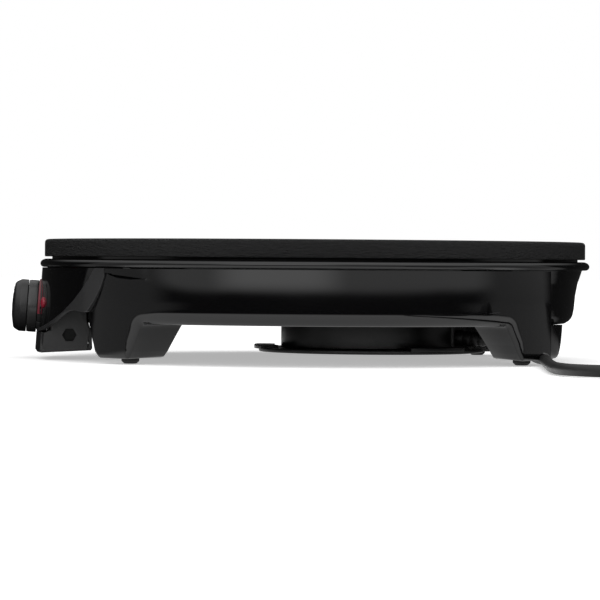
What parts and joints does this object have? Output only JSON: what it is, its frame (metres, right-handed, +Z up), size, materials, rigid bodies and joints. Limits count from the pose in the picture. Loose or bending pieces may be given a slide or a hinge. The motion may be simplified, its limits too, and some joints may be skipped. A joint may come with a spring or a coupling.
{
  "type": "electric hot plate",
  "caption": "Round electric hot plate on four short legs, with a front thermostat knob, a pilot light and a cord reel and mains lead under it.",
  "frame": {"origin": "on the table under the middle of the body, measured without the mains lead", "axes": "+Z up, -X towards the user, where the knob is, -Y to the user's right, where the lead leaves"},
  "size_m": [0.4673, 0.4996, 0.0767],
  "materials": {
    "cooking_plate": "matte coated, fine texture",
    "gloss_black": "glossy",
    "satin_black": "satin",
    "reel_black": "satin",
    "rubber": "matte",
    "red_lens": "glossy",
    "lamp_glass": "clear",
    "steel": "zinc plated",
    "element_steel": "heat darkened",
    "aluminium": "mill",
    "brass": "turned",
    "ceramic": "matte",
    "cord_black": "satin",
    "wire_brown": "satin",
    "wire_blue": "satin",
    "wire_green": "satin"
  },
  "bodies": {
    "body": {"cooking_plate": "cooking_plate", "base_pan": "gloss_black", "side_shell_right": "gloss_black", "side_shell_left": "gloss_black", "fascia_panel": "gloss_black", "front_frame": "satin_black", "control_box": "satin_black", "box_cover_right": "satin_black", "box_cover_left": "satin_black", "base_cover": "satin_black", "reel_drum": "reel_black", "reel_flange": "reel_black", "cord_clamp": "reel_black", "foot_front_right": "rubber", "foot_front_left": "rubber", "foot_rear_right": "rubber", "foot_rear_left": "rubber", "pilot_lens": "red_lens", "neon_lamp": "lamp_glass", "element_terminal_right": "steel", "element_terminal_left": "steel", "element_clamp_right": "steel", "element_clamp_left": "steel", "clamp_screw_right": "steel", "clamp_screw_left": "steel", "plate_stud_front_right": "steel", "plate_stud_rear": "steel", "plate_stud_front_left": "steel", "stud_screw_front_right": "steel", "stud_screw_rear": "steel", "stud_screw_front_left": "steel", "box_screw_right": "steel", "box_screw_left": "steel", "thermostat_bracket": "steel", "reel_screw_1": "steel", "reel_screw_2": "steel", "reel_screw_3": "steel", "plug_pin_left": "steel", "plug_pin_right": "steel", "heating_element": "element_steel", "heat_shield": "aluminium", "sensor_capillary": "brass", "thermostat_bush": "brass", "thermal_cutout": "ceramic", "thermostat_body": "ceramic", "terminal_block": "ceramic", "mains_cord": "cord_black", "cord_coil": "cord_black", "plug_body": "cord_black", "strain_relief": "cord_black", "inner_cord": "cord_black", "wire_live": "wire_brown", "wire_switched": "wire_brown", "wire_neutral": "wire_blue", "wire_earth": "wire_green"},
    "knob": {"knob_cap": "satin_black", "knob_ring": "gloss_black", "thermostat_spindle": "brass"},
    "pin": {"adjusting_pin": "brass"}
  },
  "joints": [
    {"name": "knob_turn", "type": "hinge", "parent": "body", "child": "knob", "pos_m": [-0.16872, 0, 0.0332], "axis": [0.9977, 0, -0.0673], "range_deg": [0, 270]},
    {"name": "pin_travel", "type": "slide", "parent": "body", "child": "pin", "axis": [0.9977, 0, -0.0673], "range_m": [0, 0.0008]}
  ],
  "couplings": [
    {"joint": "pin_travel", "follows": "knob_turn", "m_per_rad": 0.000159}
  ]
}
